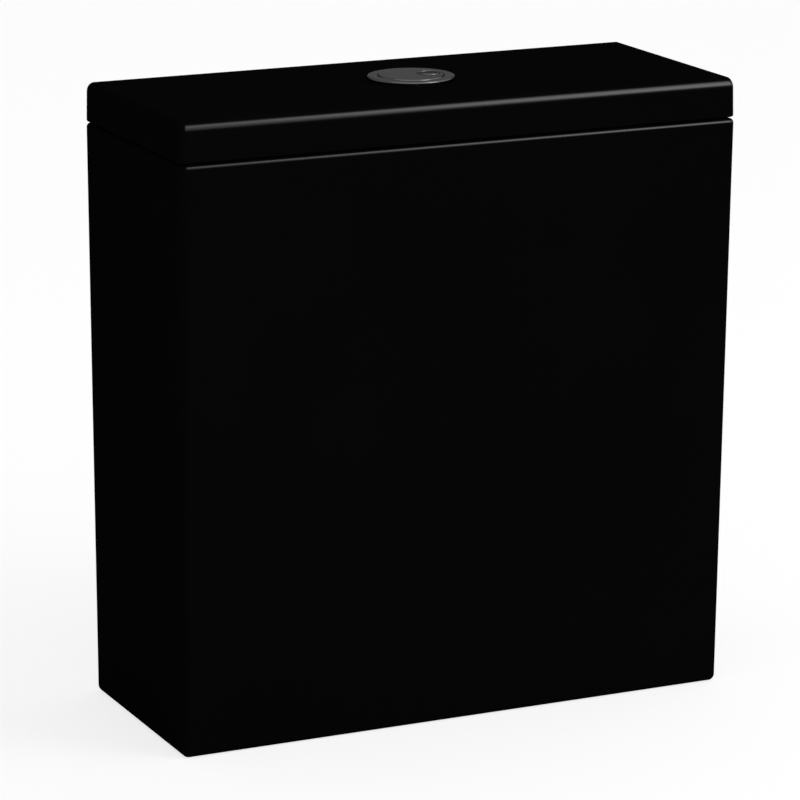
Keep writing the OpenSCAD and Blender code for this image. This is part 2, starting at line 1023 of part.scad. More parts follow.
module coupling_bolts() {
  color([0.78, 0.74, 0.55])
    at_bolts() {
      rod(bolt_r, bolt_z, bolt_head_z);
      rod(bolt_neck_r, bolt_neck_z, bolt_head_z + cut);
      translate([0, 0, bolt_head_z])
        cylinder(r = bolt_head_r, h = bolt_head_t, $fn = 6);
    }
}

module bolt_cone_washers() {
  color([0.1, 0.1, 0.1])
    at_bolts()
      rotate_extrude()
        polygon([
          [bolt_neck_r + fit, floor_z],
          [cone_r, floor_z],
          [cone_r - cone_taper, floor_z + cone_t],
          [bolt_neck_r + fit, floor_z + cone_t]
        ]);
}

module bolt_head_washers() {
  color([0.75, 0.75, 0.77])
    at_bolts()
      ring(flat_r - inset, bolt_neck_r + fit, floor_z + cone_t, flat_t);
}

module bolt_under_washers() {
  color([0.75, 0.75, 0.77])
    at_bolts()
      ring(flat_r, bolt_neck_r + fit, recess_h - flat_t, flat_t);
}

module bolt_lock_nuts() {
  color([0.78, 0.74, 0.55])
    at_bolts()
      difference() {
        translate([0, 0, lock_nut_z])
          cylinder(r = bolt_head_r, h = lock_nut_t, $fn = 6);
        rod(bolt_neck_r + fit, lock_nut_z - cut, lock_nut_z + lock_nut_t + cut);
      }
}

// one copy at the fill valve
module at_fill() {
  translate([fill_x, fill_y, 0])
    children();
}

module inlet_shank() {
  color([0.72, 0.6, 0.3])
    at_fill()
      difference() {
        union() {
          rod(shank_r, inlet_z, inlet_flange_z);
          rod(neck_r, tail_top, inlet_flange_z + cut);
          rod(inlet_flange_r, inlet_flange_z, socket_z);
          rod(socket_r, inlet_flange_z, socket_top);
        }
        rod(inlet_bore, inlet_z - cut, riser_z + cut);
        rod(riser_r + fit, riser_z, socket_top + cut);
      }
}

module inlet_seal() {
  color([0.1, 0.1, 0.1])
    at_fill()
      ring(inlet_flange_r, neck_r + fit, floor_z, inlet_seal_t);
}

module inlet_washer() {
  color([0.85, 0.85, 0.83])
    at_fill()
      ring(inlet_nut_r - inset, neck_r + fit, recess_h - inlet_washer_t, inlet_washer_t);
}

module inlet_back_nut() {
  color([0.85, 0.85, 0.83])
    at_fill()
      difference() {
        translate([0, 0, inlet_nut_z])
          cylinder(r = inlet_nut_r, h = inlet_nut_t, $fn = 6);
        rod(neck_r + fit, inlet_nut_z - cut, inlet_nut_z + inlet_nut_t + cut);
      }
}

module inlet_filter() {
  color([0.8, 0.8, 0.8])
    at_fill()
      difference() {
        rod(filter_r, filter_z, filter_z + filter_h);
        rod(filter_r - filter_t, filter_z - cut, filter_z + filter_h - filter_t);
      }
}

module riser_pipe() {
  color([0.92, 0.92, 0.9])
    at_fill()
      ring(riser_r, riser_in, riser_z, head_z + head_sole - riser_z);
}

module riser_collar() {
  color([0.1, 0.3, 0.6])
    at_fill()
      difference() {
        union() {
          rod(collar_nut_r - grip_r, socket_top, socket_top + collar_nut_h);
          for (i = [0 : grip_count - 1]) {
            rotate([0, 0, i * 360 / grip_count])
              translate([collar_nut_r - grip_r, 0, 0])
                rod(grip_r, socket_top, socket_top + collar_nut_h);
          }
        }
        rod(riser_r + fit, socket_top - cut, socket_top + collar_nut_h + cut);
      }
}

module fill_head() {
  color([0.9, 0.9, 0.88])
    at_fill()
      difference() {
        union() {
          rod(head_r, head_z, head_top);
          block([port_x, -port_r, head_z], [0, port_r, port_top]);
          translate([port_x, 0, 0])
            rod(port_r, head_z - port_drop, port_top);
        }
        rod(riser_r + fit, head_z - cut, head_z + head_sole);
        rod(riser_in, head_z, head_floor + cut);
        rod(head_r - head_wall, head_floor, head_top + cut);
        translate([port_x, 0, 0])
          rod(pipe_r + fit, head_z - port_drop - cut, port_floor);
      }
}

module fill_diaphragm() {
  color([0.1, 0.1, 0.1])
    at_fill()
      rod(cap_plug_r, head_floor, head_floor + diaphragm_t);
}

module fill_cap() {
  color([0.1, 0.3, 0.6])
    at_fill()
      difference() {
        union() {
          rod(cap_r, head_top, head_top + cap_t);
          rod(cap_plug_r, head_top - plug_h, head_top + cut);
          for (s = [0, 1]) {
            mirror([0, s, 0])
              block([-ear_w / 2, ear_in, head_top], [ear_w / 2, ear_out, fill_pivot_z + ear_top]);
          }
        }
        cross_rod(fill_pin_r + run, -ear_out - cut, ear_out + cut, fill_pivot_z);
      }
}

module discharge_tube() {
  color([0.85, 0.85, 0.83])
    at_fill()
      translate([port_x, 0, 0])
        ring(pipe_r, pipe_r - pipe_wall, pipe_z, port_floor - pipe_z);
}

module fill_float() {
  color([0.92, 0.92, 0.9])
    at_fill()
      difference() {
        union() {
          soft_block([float_in, -float_half, float_z], [float_out, float_half, float_top], float_r);
          for (z = [float_z, float_top - guide_h]) {
            block([0, -guide_half, z], [float_in + float_r, guide_half, z + guide_h]);
            rod(guide_half, z, z + guide_h);
          }
        }
        soft_block(
          [float_in + float_wall, float_wall - float_half, float_z - cut],
          [float_out - float_wall, float_half - float_wall, float_top - float_wall],
          float_r - float_wall
        );
        rod(riser_r + slide, float_z - cut, float_top + cut);
        translate([fill_arm, 0, 0])
          rod(level_rod_r + run, float_z, float_top + cut);
      }
}

module float_rod() {
  slot_half = link_r + link_slot_z;
  plate_half = slot_half + link_wall;
  color([0.85, 0.85, 0.83])
    at_fill()
      translate([fill_arm, 0, 0]) {
        rod(level_rod_r, float_top - level_stop, fill_pivot_z - plate_half + cut);
        difference() {
          block(
            [-link_r - link_in - link_wall, -link_plate_y, fill_pivot_z - plate_half],
            [link_r + link_out + link_wall, link_plate_y, fill_pivot_z + plate_half]
          );
          block(
            [-link_r - link_in, -link_plate_y - cut, fill_pivot_z - slot_half],
            [link_r + link_out, link_plate_y + cut, fill_pivot_z + slot_half]
          );
        }
      }
}

module level_nut() {
  color([0.1, 0.3, 0.6])
    at_fill()
      translate([fill_arm, 0, 0])
        ring(level_nut_r, level_rod_r + fit, float_top, level_nut_t);
}

module fill_lever() {
  low = fill_pivot_z - fill_bar_t / 2;
  high = fill_pivot_z + fill_bar_t / 2;
  color([0.1, 0.3, 0.6])
    at_fill()
      difference() {
        union() {
          cross_rod(fill_hub_r, -fill_bar_y, fill_bar_y, fill_pivot_z);
          block([0, -fill_bar_y, low], [fill_arm - fork_root, fill_bar_y, high]);
          for (s = [0, 1]) {
            mirror([0, s, 0])
              block([fill_arm - prong_root, fill_bar_y - fit, low], [fill_arm + prong_end, prong_out, high]);
          }
          translate([fill_arm, 0, 0])
            cross_rod(link_r, -prong_out, prong_out, fill_pivot_z);
        }
        cross_rod(fill_pin_r + run, -fill_bar_y - cut, fill_bar_y + cut, fill_pivot_z);
      }
}

module fill_lever_pin() {
  color([0.75, 0.75, 0.77])
    at_fill()
      cross_rod(fill_pin_r, -ear_out - rest_gap, ear_out + rest_gap, fill_pivot_z);
}

tank();
lid();
lid_buffers();
button_bezel();
bezel_washer();
bezel_nut();
button_guide();
full_flush_button();
half_flush_button();
full_button_spring();
half_button_spring();
full_push_rod();
half_push_rod();
full_rod_tip();
half_rod_tip();
full_lever();
half_lever();
lever_pin();
lever_pin_clip();
lever_spacers();
lever_bridge();
bridge_lock_pins();
valve_basket();
valve_base();
valve_base_seal();
valve_back_nut();
coupling_gasket();
overflow_tube();
plunger_seal();
plunger_disc();
flush_float();
full_lift_hook();
half_lift_hook();
coupling_bolts();
bolt_cone_washers();
bolt_head_washers();
bolt_under_washers();
bolt_lock_nuts();
inlet_shank();
inlet_seal();
inlet_washer();
inlet_back_nut();
inlet_filter();
riser_pipe();
riser_collar();
fill_head();
fill_diaphragm();
fill_cap();
discharge_tube();
fill_float();
float_rod();
level_nut();
fill_lever();
fill_lever_pin();
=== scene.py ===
import math

import bmesh
import bpy
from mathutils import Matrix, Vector


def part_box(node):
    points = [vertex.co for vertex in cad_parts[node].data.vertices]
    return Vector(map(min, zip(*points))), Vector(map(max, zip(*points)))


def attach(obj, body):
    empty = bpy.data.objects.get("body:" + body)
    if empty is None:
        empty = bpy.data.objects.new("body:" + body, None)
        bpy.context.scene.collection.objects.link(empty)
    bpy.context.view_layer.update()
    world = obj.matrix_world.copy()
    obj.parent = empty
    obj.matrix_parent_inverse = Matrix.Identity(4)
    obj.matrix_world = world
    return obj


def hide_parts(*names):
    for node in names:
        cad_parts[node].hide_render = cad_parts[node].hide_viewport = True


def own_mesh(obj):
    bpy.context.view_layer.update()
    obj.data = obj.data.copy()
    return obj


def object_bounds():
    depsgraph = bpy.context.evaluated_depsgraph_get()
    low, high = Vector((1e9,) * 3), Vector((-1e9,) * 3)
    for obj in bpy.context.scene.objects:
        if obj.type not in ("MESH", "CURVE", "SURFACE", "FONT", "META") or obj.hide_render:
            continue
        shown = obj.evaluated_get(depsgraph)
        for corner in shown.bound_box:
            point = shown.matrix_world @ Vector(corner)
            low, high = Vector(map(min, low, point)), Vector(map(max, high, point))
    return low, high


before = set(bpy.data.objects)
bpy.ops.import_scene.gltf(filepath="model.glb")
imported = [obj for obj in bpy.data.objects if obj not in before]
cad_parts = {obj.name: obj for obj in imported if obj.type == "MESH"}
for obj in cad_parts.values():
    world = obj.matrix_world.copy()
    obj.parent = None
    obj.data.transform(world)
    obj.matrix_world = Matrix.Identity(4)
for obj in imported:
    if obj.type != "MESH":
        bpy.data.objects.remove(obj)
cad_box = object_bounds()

scene = bpy.context.scene
scene.view_settings.view_transform = "Standard"


# Camera
# The cistern is seen from its front left and a little from above, with a long lens that keeps the
# edges almost parallel. The place and the lens come from the edges and corners of the photograph.
camera_place = Vector((-1.1269, -2.4190, 0.8783))
camera_target = Vector((-0.007756, 0.00026, 0.200675))
camera = bpy.data.objects.new("camera", bpy.data.cameras.new("camera"))
camera.data.lens = 186.98
camera.data.sensor_width = 36.0
camera.location = camera_place
camera.rotation_euler = (camera_target - camera_place).to_track_quat("-Z", "Y").to_euler()
scene.collection.objects.link(camera)
scene.camera = camera


# Studio
# A wide pale floor under one large soft overhead light, a grey room around it, and a tall softbox
# at the front right, which is what draws the bright lines along the cistern's top edges, in a glossy coat
# painted on only there.
floor_half = 30.0
floor_colour = (0.93, 0.93, 0.93, 1.0)
floor_lift = 0.75
room_colour = (0.50, 0.50, 0.50, 1.0)
overhead_from = Vector((0.45, -0.47, 0.76))
overhead_strength = 1.7
overhead_spread = math.radians(140)
softbox_from = Vector((0.54, -0.60, 0.60))
softbox_distance = 2.6
softbox_size = (1.1, 2.2)
softbox_radiance = 3.4

floor_mesh = bpy.data.meshes.new("floor")
floor_mesh.from_pydata(
    [(x * floor_half, y * floor_half, 0.0) for x, y in ((-1, -1), (1, -1), (1, 1), (-1, 1))],
    [],
    [(0, 1, 2, 3)],
)
floor = bpy.data.objects.new("floor", floor_mesh)
scene.collection.objects.link(floor)
floor_paint = bpy.data.materials.new("pale floor")
floor_paint.use_nodes = True
floor_nodes = floor_paint.node_tree.nodes
floor_shader = floor_nodes["Principled BSDF"]
floor_shader.inputs["Base Color"].default_value = floor_colour
floor_shader.inputs["Roughness"].default_value = 0.9
floor_shader.inputs["Specular IOR Level"].default_value = 0.0
floor_mesh.materials.append(floor_paint)

# seen directly or in a reflection, the floor is lifted part of the way to white and keeps a paler shadow
ray = floor_nodes.new("ShaderNodeLightPath")
seen = floor_nodes.new("ShaderNodeMath")
seen.operation = "MAXIMUM"
shown = floor_nodes.new("ShaderNodeMath")
shown.operation = "MAXIMUM"
lift = floor_nodes.new("ShaderNodeMath")
lift.operation = "MULTIPLY"
lift.inputs[1].default_value = floor_lift
white = floor_nodes.new("ShaderNodeEmission")
floor_mix = floor_nodes.new("ShaderNodeMixShader")
for source, target in (
    (ray.outputs["Is Camera Ray"], seen.inputs[0]),
    (ray.outputs["Is Glossy Ray"], seen.inputs[1]),
    (seen.outputs["Value"], shown.inputs[0]),
    (ray.outputs["Is Transmission Ray"], shown.inputs[1]),
    (shown.outputs["Value"], lift.inputs[0]),
    (lift.outputs["Value"], floor_mix.inputs["Fac"]),
    (floor_shader.outputs["BSDF"], floor_mix.inputs[1]),
    (white.outputs["Emission"], floor_mix.inputs[2]),
    (floor_mix.outputs["Shader"], floor_nodes["Material Output"].inputs["Surface"]),
):
    floor_paint.node_tree.links.new(source, target)

scene.world = bpy.data.worlds.new("room")
scene.world.use_nodes = True
scene.world.node_tree.nodes["Background"].inputs["Color"].default_value = room_colour

overhead = bpy.data.objects.new("overhead light", bpy.data.lights.new("overhead light", "SUN"))
overhead.data.energy = overhead_strength
overhead.data.angle = overhead_spread
overhead.rotation_euler = (-overhead_from).to_track_quat("-Z", "Y").to_euler()
scene.collection.objects.link(overhead)

softbox = bpy.data.objects.new("softbox", bpy.data.lights.new("softbox", "AREA"))
softbox.data.shape = "RECTANGLE"
softbox.data.size, softbox.data.size_y = softbox_size
softbox.data.energy = softbox_radiance * math.pi * softbox_size[0] * softbox_size[1]
softbox.location = softbox_from.normalized() * softbox_distance + Vector((0.0, 0.0, cad_box[1][2]))
softbox.rotation_euler = (-softbox_from).to_track_quat("-Z", "Y").to_euler()
scene.collection.objects.link(softbox)


# Tank
# The body is slip-cast vitreous china, open at the top, with a deep skirt round its underside. Matt black
# glaze is sprayed on from outside and fades out inside the mouth and under the foot, over bare fired clay.
tank_low, tank_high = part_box("tank")
tank_side_draft = 0.001
tank_front_draft = 0.010
tank_wall = 0.010
tank_skirt = 0.012
tank_corner_r = 0.0045
tank_rim_r = 0.0028
tank_mouth_r = 0.0016
tank_inner_r = 0.012
tank_recess_r = 0.008
tank_recess_top = 0.032
tank_floor = 0.044
foot_edge_r = 0.0015
spray_depth = 0.024
spray_fade = 0.040
least_corner_r = 0.0005
hole_margin = 0.004
outlet_hole_r = 0.0312
bolt_hole_r = 0.006
bolt_hole_x = 0.0775
inlet_hole_r = 0.0097
inlet_place = Vector((-0.140, 0.020, 0.0))


def rounded_loop(half_x, front, back, corner_r, z, steps=8):
    """Points of a level rectangle with round corners, once round from the back right corner."""
    centres = (
        (half_x - corner_r, back - corner_r),
        (corner_r - half_x, back - corner_r),
        (corner_r - half_x, front + corner_r),
        (half_x - corner_r, front + corner_r),
    )
    points = []
    for quarter, (x, y) in enumerate(centres):
        for step in range(steps + 1):
            a = math.radians(90 * (quarter + step / steps))
            points.append((x + corner_r * math.cos(a), y + corner_r * math.sin(a), z))
    return points


def loft(name, loops, ring=False):
    """Closed skin through loops of equal length, joined end to end for a ring and capped otherwise."""
    bm = bmesh.new()
    rows = [[bm.verts.new(point) for point in loop] for loop in loops]
    pairs = list(zip(rows, rows[1:]))
    if ring:
        pairs.append((rows[-1], rows[0]))
    else:
        bm.faces.new(rows[0])
        bm.faces.new(rows[-1])
    for low, high in pairs:
        for i in range(len(low)):
            j = (i + 1) % len(low)
            bm.faces.new((low[i], low[j], high[j], high[i]))
    bmesh.ops.recalc_face_normals(bm, faces=bm.faces)
    if bm.calc_volume(signed=True) < 0:
        bmesh.ops.reverse_faces(bm, faces=bm.faces)
    mesh = bpy.data.meshes.new(name)
    bm.to_mesh(mesh)
    bm.free()
    piece = bpy.data.objects.new(name, mesh)
    scene.collection.objects.link(piece)
    return piece


def round_loop(x, y, z, r, sides=64):
    """Points of a level circle."""
    turn = 2 * math.pi / sides
    return [(x + r * math.cos(i * turn), y + r * math.sin(i * turn), z) for i in range(sides)]


def combine(piece, other, operation):
    """Cuts another solid out of a piece, or joins it on, and removes the other."""
    step = piece.modifiers.new(operation.lower(), "BOOLEAN")
    step.operation = operation
    step.solver = "EXACT"
    step.object = other
    result = piece.evaluated_get(bpy.context.evaluated_depsgraph_get())
    mesh = bpy.data.meshes.new_from_object(result)
    mesh.name = piece.name
    piece.modifiers.clear()
    piece.data = mesh
    bpy.data.objects.remove(other)


def drill(piece, x, y, r, low, high):
    """Drills a round upright hole."""
    cutter = loft("cutter", [round_loop(x, y, low, r), round_loop(x, y, high, r)])
    combine(piece, cutter, "DIFFERENCE")


def smooth(piece, angle=35):
    """Smooth shading with crisp edges above an angle, and flat faces kept flat."""
    piece.data.polygons.foreach_set("use_smooth", [True] * len(piece.data.polygons))
    piece.data.set_sharp_from_angle(angle=math.radians(angle))
    weighting = piece.modifiers.new("even shading", "WEIGHTED_NORMAL")
    weighting.keep_sharp = True


def tank_loop(z, inset, corner_r):
    """Outline of the tank at a height, drawn in by an inset from its outside."""
    lean = 1 - z / tank_high.z
    half_x = tank_high.x - tank_side_draft * lean - inset
    front = tank_low.y + tank_front_draft * lean + inset
    return rounded_loop(half_x, front, tank_high.y - inset, corner_r, z)


def fillet(steps=6):
    """Sine and cosine pairs over a quarter turn."""
    angles = [math.pi / 2 * i / steps for i in range(steps + 1)]
    return [(math.sin(a), math.cos(a)) for a in angles]


loops = []
for s, c in fillet():
    z = tank_recess_top - foot_edge_r * (1 - s)
    loops.insert(0, tank_loop(z, tank_skirt + foot_edge_r * (1 - c), tank_recess_r))
for s, c in fillet():
    loops.append(tank_loop(foot_edge_r * (1 - s), tank_skirt - foot_edge_r * (1 - c), tank_recess_r))
for s, c in fillet():
    inset = tank_corner_r * (1 - s)
    loops.append(tank_loop(tank_corner_r * (1 - c), inset, max(tank_corner_r - inset, least_corner_r)))
for s, c in fillet(10):
    inset = tank_rim_r * (1 - c)
    loops.append(tank_loop(tank_high.z - tank_rim_r * (1 - s), inset, tank_corner_r - inset))
for s, c in fillet():
    inset = tank_wall - tank_mouth_r * (1 - s)
    loops.append(tank_loop(tank_high.z - tank_mouth_r * (1 - c), inset, tank_inner_r))
for depth in (spray_depth, spray_depth + spray_fade):
    loops.append(tank_loop(tank_high.z - depth, tank_wall, tank_inner_r))
for s, c in fillet():
    inset = tank_wall + tank_inner_r * (1 - c)
    corner = max(tank_inner_r * c, least_corner_r)
    loops.append(tank_loop(tank_floor + tank_inner_r * (1 - s), inset, corner))
tank = loft("tank_shell", loops)
for x, y, r in (
    (0.0, 0.0, outlet_hole_r),
    (-bolt_hole_x, 0.0, bolt_hole_r),
    (bolt_hole_x, 0.0, bolt_hole_r),
    (inlet_place.x, inlet_place.y, inlet_hole_r),
):
    drill(tank, x, y, r, tank_recess_top - hole_margin, tank_floor + hole_margin)


def shader_group(name, inputs, outputs):
    """Empty shader node group with named sockets, and its input and output nodes."""
    group = bpy.data.node_groups.new(name, "ShaderNodeTree")
    for label, kind in inputs:
        group.interface.new_socket(label, in_out="INPUT", socket_type="NodeSocket" + kind)
    for label, kind in outputs:
        group.interface.new_socket(label, in_out="OUTPUT", socket_type="NodeSocket" + kind)
    return group, group.nodes.new("NodeGroupInput"), group.nodes.new("NodeGroupOutput")


# cloudy change of colour and gloss, with a finer unevenness of the surface itself
mottle, given, result = shader_group(
    "mottle",
    [
        ("Dark", "Color"),
        ("Light", "Color"),
        ("Gloss", "Float"),
        ("Gloss Change", "Float"),
        ("Cloud Scale", "Float"),
        ("Grain Scale", "Float"),
    ],
    [("Color", "Color"), ("Roughness", "Float"), ("Height", "Float")],
)
place = mottle.nodes.new("ShaderNodeTexCoord")
cloud = mottle.nodes.new("ShaderNodeTexNoise")
cloud.inputs["Detail"].default_value = 4.0
grain = mottle.nodes.new("ShaderNodeTexNoise")
grain.inputs["Detail"].default_value = 3.0
blend = mottle.nodes.new("ShaderNodeMix")
blend.data_type = "RGBA"
swing = mottle.nodes.new("ShaderNodeMath")
swing.operation = "SUBTRACT"
swing.inputs[1].default_value = 0.5
gloss = mottle.nodes.new("ShaderNodeMath")
gloss.operation = "MULTIPLY_ADD"
for source, target in (
    (place.outputs["Object"], cloud.inputs["Vector"]),
    (place.outputs["Object"], grain.inputs["Vector"]),
    (given.outputs["Cloud Scale"], cloud.inputs["Scale"]),
    (given.outputs["Grain Scale"], grain.inputs["Scale"]),
    (cloud.outputs["Fac"], blend.inputs["Factor"]),
    (given.outputs["Dark"], blend.inputs["A"]),
    (given.outputs["Light"], blend.inputs["B"]),
    (grain.outputs["Fac"], swing.inputs[0]),
    (swing.outputs["Value"], gloss.inputs[0]),
    (given.outputs["Gloss Change"], gloss.inputs[1]),
    (given.outputs["Gloss"], gloss.inputs[2]),
    (blend.outputs["Result"], result.inputs["Color"]),
    (gloss.outputs["Value"], result.inputs["Roughness"]),
    (grain.outputs["Fac"], result.inputs["Height"]),
):
    mottle.links.new(source, target)


def finish(name, dark, light, gloss, gloss_change, cloud_scale, grain_scale, grain_depth, **plain):
    """Material whose colour, gloss and surface come from the mottle group, with plain shader values."""
    material = bpy.data.materials.new(name)
    material.use_nodes = True
    tree = material.node_tree
    shader = tree.nodes["Principled BSDF"]
    surface = tree.nodes.new("ShaderNodeGroup")
    surface.node_tree = mottle
    surface.inputs["Dark"].default_value = (*dark, 1.0)
    surface.inputs["Light"].default_value = (*light, 1.0)
    surface.inputs["Gloss"].default_value = gloss
    surface.inputs["Gloss Change"].default_value = gloss_change
    surface.inputs["Cloud Scale"].default_value = cloud_scale
    surface.inputs["Grain Scale"].default_value = grain_scale
    bump = tree.nodes.new("ShaderNodeBump")
    bump.inputs["Distance"].default_value = grain_depth
    tree.links.new(surface.outputs["Color"], shader.inputs["Base Color"])
    tree.links.new(surface.outputs["Roughness"], shader.inputs["Roughness"])
    tree.links.new(surface.outputs["Height"], bump.inputs["Height"])
    tree.links.new(bump.outputs["Normal"], shader.inputs["Normal"])
    for socket, value in plain.items():
        shader.inputs[socket.replace("_", " ")].default_value = value
    return material


# painted highlight: the glaze has no shine on its faces, and a glossy coat is laid on only along the top
# edges, where the softbox's highlight is wanted, and not on the left end, which is kept dark
black_glaze = finish(
    "matt black glaze",
    dark=(0.0013, 0.0013, 0.0013),
    light=(0.0020, 0.0020, 0.0020),
    gloss=0.45,
    gloss_change=0.12,
    cloud_scale=9.0,
    grain_scale=900.0,
    grain_depth=0.00002,
)
glaze_nodes = black_glaze.node_tree.nodes
glaze_shader = glaze_nodes["Principled BSDF"]
glaze_shader.inputs["Specular IOR Level"].default_value = 0.0
glaze_shader.inputs["Coat Roughness"].default_value = 0.22
glaze_shader.inputs["Coat IOR"].default_value = 1.5
# painted highlight: the coat's weight is a per-point mask laid only on the top edges
painted_edge_sheen = glaze_nodes.new("ShaderNodeAttribute")
painted_edge_sheen.attribute_name = "painted_edge_sheen"
glaze_links = black_glaze.node_tree.links
glaze_links.new(painted_edge_sheen.outputs["Fac"], glaze_shader.inputs["Coat Weight"])

# where the spray did not reach, the pale body shows through in a speckled border
clay_dark = (0.36, 0.34, 0.30, 1.0)
clay_light = (0.46, 0.44, 0.40, 1.0)
bare_clay = glaze_nodes.new("ShaderNodeAttribute")
bare_clay.attribute_name = "bare_clay"
clay_spots = glaze_nodes.new("ShaderNodeTexNoise")
clay_spots.inputs["Scale"].default_value = 260.0
clay_spots.inputs["Detail"].default_value = 5.0
clay_place = glaze_nodes.new("ShaderNodeTexCoord")
clay_colour = glaze_nodes.new("ShaderNodeMix")
clay_colour.data_type = "RGBA"
clay_colour.inputs["A"].default_value = clay_dark
clay_colour.inputs["B"].default_value = clay_light
spray_edge = glaze_nodes.new("ShaderNodeMath")
spray_edge.operation = "MULTIPLY_ADD"
spray_edge.inputs[1].default_value = 0.5
speckle = glaze_nodes.new("ShaderNodeMapRange")
speckle.inputs["From Min"].default_value = 0.50
speckle.inputs["From Max"].default_value = 1.20
body_colour = glaze_nodes.new("ShaderNodeMix")
body_colour.data_type = "RGBA"
glaze_surface = glaze_shader.inputs["Base Color"].links[0].from_socket
for source, target in (
    (clay_place.outputs["Object"], clay_spots.inputs["Vector"]),
    (clay_spots.outputs["Fac"], clay_colour.inputs["Factor"]),
    (clay_spots.outputs["Fac"], spray_edge.inputs[0]),
    (bare_clay.outputs["Fac"], spray_edge.inputs[2]),
    (spray_edge.outputs["Value"], speckle.inputs["Value"]),
    (speckle.outputs["Result"], body_colour.inputs["Factor"]),
    (glaze_surface, body_colour.inputs["A"]),
    (clay_colour.outputs["Result"], body_colour.inputs["B"]),
    (body_colour.outputs["Result"], glaze_shader.inputs["Base Color"]),
):
    glaze_links.new(source, target)


def mark_points(piece, name, weight):
    """Stores a weight from 0 to 1 at each point of a piece, worked out from the point's place."""
    mark = piece.data.attributes.new(name, "FLOAT", "POINT")
    for vertex, value in zip(piece.data.vertices, mark.data):
        value.value = min(max(weight(vertex.co), 0.0), 1.0)


# weight of the painted highlight's coat, and the turns of the edge, in degrees, at which it starts, peaks
# and ends
painted_sheen_strength = 1.0
edge_start = 8.0
edge_peak = 22.0
edge_end = 46.0

# the stretch of the left corner kept without the painted highlight, and the one over which it begins, in
# corner radii
sheen_left_skip = 0.75
sheen_left_fade = 0.27


def painted_sheen_weight(point, top, edge_r, left, corner_r):
    """Weight of the painted highlight coat on a round top edge: most on its lower half, where the
    softbox's highlight falls, and none on the left end, which is kept dark.
    """
    height = (point.z - top) / edge_r + 1
    if not 0.0 < height < 1.0:
        return 0.0
    turn = math.degrees(math.asin(height))
    rise = (turn - edge_start) / (edge_peak - edge_start)
    fall = (edge_end - turn) / (edge_end - edge_peak)
    along = ((point.x - left) / corner_r - sheen_left_skip) / sheen_left_fade
    return painted_sheen_strength * max(min(rise, fall), 0.0) * min(max(along, 0.0), 1.0)


# painted highlight along the tank's top edge: coat on its lower half only, none on the left end
mark_points(
    tank,
    "painted_edge_sheen",
    lambda point: painted_sheen_weight(point, tank_high.z, tank_rim_r, tank_low.x, tank_corner_r),
)
foot_margin = 0.0001


def on_foot(point):
    """True for points on or inside the foot ring."""
    inset = tank_corner_r - foot_margin
    front = tank_low.y + tank_front_draft + inset
    within_depth = front < point.y < tank_high.y - inset
    return within_depth and abs(point.x) < tank_high.x - tank_side_draft - inset


def clay_weight(point):
    """Bare clay inside the tank below the spray, and inside its skirt."""
    if point.z < tank_recess_top + foot_edge_r and on_foot(point):
        return 1.0
    if point.z > tank_recess_top and abs(point.x) < tank_high.x - tank_wall + foot_edge_r:
        return (tank_high.z - spray_depth - point.z) / spray_fade
    return 0.0


mark_points(tank, "bare_clay", clay_weight)
smooth(tank)
tank.data.materials.append(black_glaze)
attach(tank, "tank")
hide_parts("tank")


# Lid
# A separate slab of the same black-glazed china, cast hollow underneath, with lugs that drop inside the
# tank's mouth so that it cannot slide off. It has one round hole for the button's barrel.
lid_low, lid_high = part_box("lid")
lid_gap = 0.001
lid_foot = tank_high.z + lid_gap
lid_draft = 0.0003
lid_top_r = 0.0065
lid_end_r = 0.0045
lid_foot_r = 0.0012
lid_corner_r = 0.0045
lid_rim = 0.014
lid_thick = 0.012
lid_pocket_top = lid_high.z - lid_thick
lid_pocket_r = 0.008
lid_pocket_edge = 0.003
lid_mouth_r = 0.001
lid_hole_r = 0.0255
lug_half = 0.020
lug_depth = 0.006
lug_bite = 0.0015
lug_x = 0.110
lug_edge = 0.002


def lid_loop(z, inset, corner_r, end_inset=None):
    """Outline of the lid at a height, drawn in by an inset, which may differ at its two ends."""
    half_x = lid_high.x - (inset if end_inset is None else end_inset)
    return rounded_loop(half_x, lid_low.y + inset, lid_high.y - inset, corner_r, z)


loops = []
for s, c in fillet():
    drawn_in = lid_pocket_edge * (1 - c)
    z = lid_pocket_top - lid_pocket_edge * (1 - s)
    loops.insert(0, lid_loop(z, lid_rim + drawn_in, lid_pocket_r - drawn_in))
for s, c in fillet():
    loops.append(lid_loop(lid_foot + lid_mouth_r * (1 - s), lid_rim - lid_mouth_r * (1 - c), lid_pocket_r))
for s, c in fillet():
    inset = lid_foot_r * (1 - s)
    loops.append(lid_loop(lid_foot + lid_foot_r * (1 - c), inset, lid_corner_r - inset))
for s, c in fillet(10):
    inset = lid_draft + lid_top_r * (1 - c)
    end_inset = lid_draft + lid_end_r * (1 - c)
    corner = max(lid_end_r * c, least_corner_r)
    loops.append(lid_loop(lid_high.z - lid_top_r * (1 - s), inset, corner, end_inset))
lid = loft("lid_slab", loops)


def lug(x, y, half_x, half_y):
    """Upright block with round edges that drops from the lid's rim."""
    box_loops = []
    for s, c in fillet(4):
        inset = lug_edge * (1 - s)
        z = lid_low.z + lug_edge * (1 - c)
        box_loops.append(rounded_loop(half_x - inset, -half_y + inset, half_y - inset, lug_edge, z, 4))
    top = lid_pocket_top + lug_bite
    box_loops.append(rounded_loop(half_x, -half_y, half_y, lug_edge, top, 4))
    return loft("lug", [[(px + x, py + y, pz) for px, py, pz in loop] for loop in box_loops])


